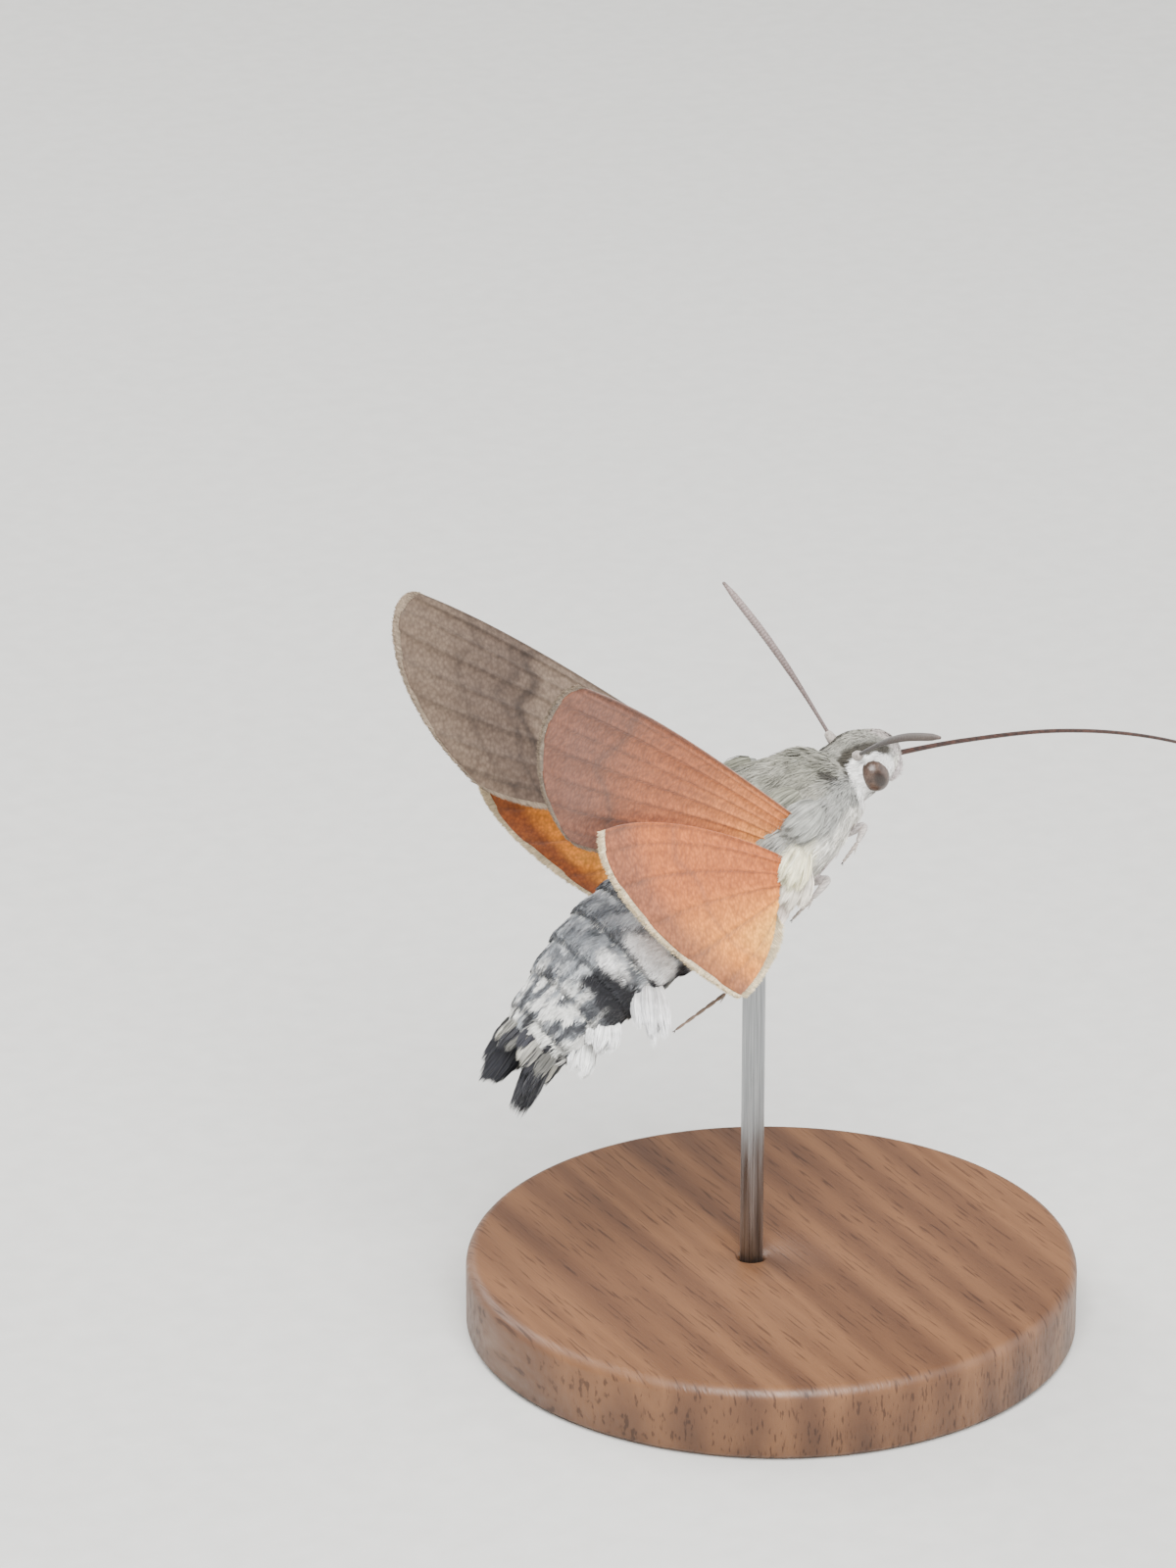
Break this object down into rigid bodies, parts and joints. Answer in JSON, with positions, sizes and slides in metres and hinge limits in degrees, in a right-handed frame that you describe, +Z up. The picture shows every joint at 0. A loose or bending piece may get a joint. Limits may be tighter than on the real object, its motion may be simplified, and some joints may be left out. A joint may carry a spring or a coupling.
{
  "type": "hummingbird hawk moth, still display model",
  "caption": "Life-size hummingbird hawk moth hovering with raised wings, feelers and uncoiled tongue, held over a round wooden base by a thin steel rod.",
  "frame": {"origin": "middle of the underside of the round base", "axes": "+Z up, +X the way the moth heads, +Y the moth's left"},
  "size_m": [0.047, 0.032, 0.0414],
  "materials": {
    "grey_fur": "soft greenish-grey fur, white below",
    "dark_fur": "grey and black bands of scales with white patches",
    "tail_black": "long black scales",
    "forewing_brown": "powdery grey-brown scales with darker lines",
    "hindwing_orange": "powdery orange scales with a brown border",
    "eye": "glossy brown with a dark false pupil",
    "feeler": "matt mauve-grey",
    "tongue": "dark brown, satin",
    "leg": "pale scales",
    "steel": "brushed",
    "walnut": "satin oiled"
  },
  "bodies": {
    "root": {"head": "grey_fur", "thorax": "grey_fur", "abdomen": "dark_fur", "tail_fan": "tail_black", "proboscis": "tongue", "eye_left": "eye", "eye_right": "eye", "palp_left": "grey_fur", "palp_right": "grey_fur", "antenna_left": "feeler", "antenna_right": "feeler", "forewing_left": "forewing_brown", "forewing_right": "forewing_brown", "hindwing_left": "hindwing_orange", "hindwing_right": "hindwing_orange", "leg_fore_left": "leg", "leg_fore_right": "leg", "leg_mid_left": "leg", "leg_mid_right": "leg", "leg_hind_left": "leg", "leg_hind_right": "leg", "stand_base": "walnut", "stand_rod": "steel"}
  },
  "joints": []
}
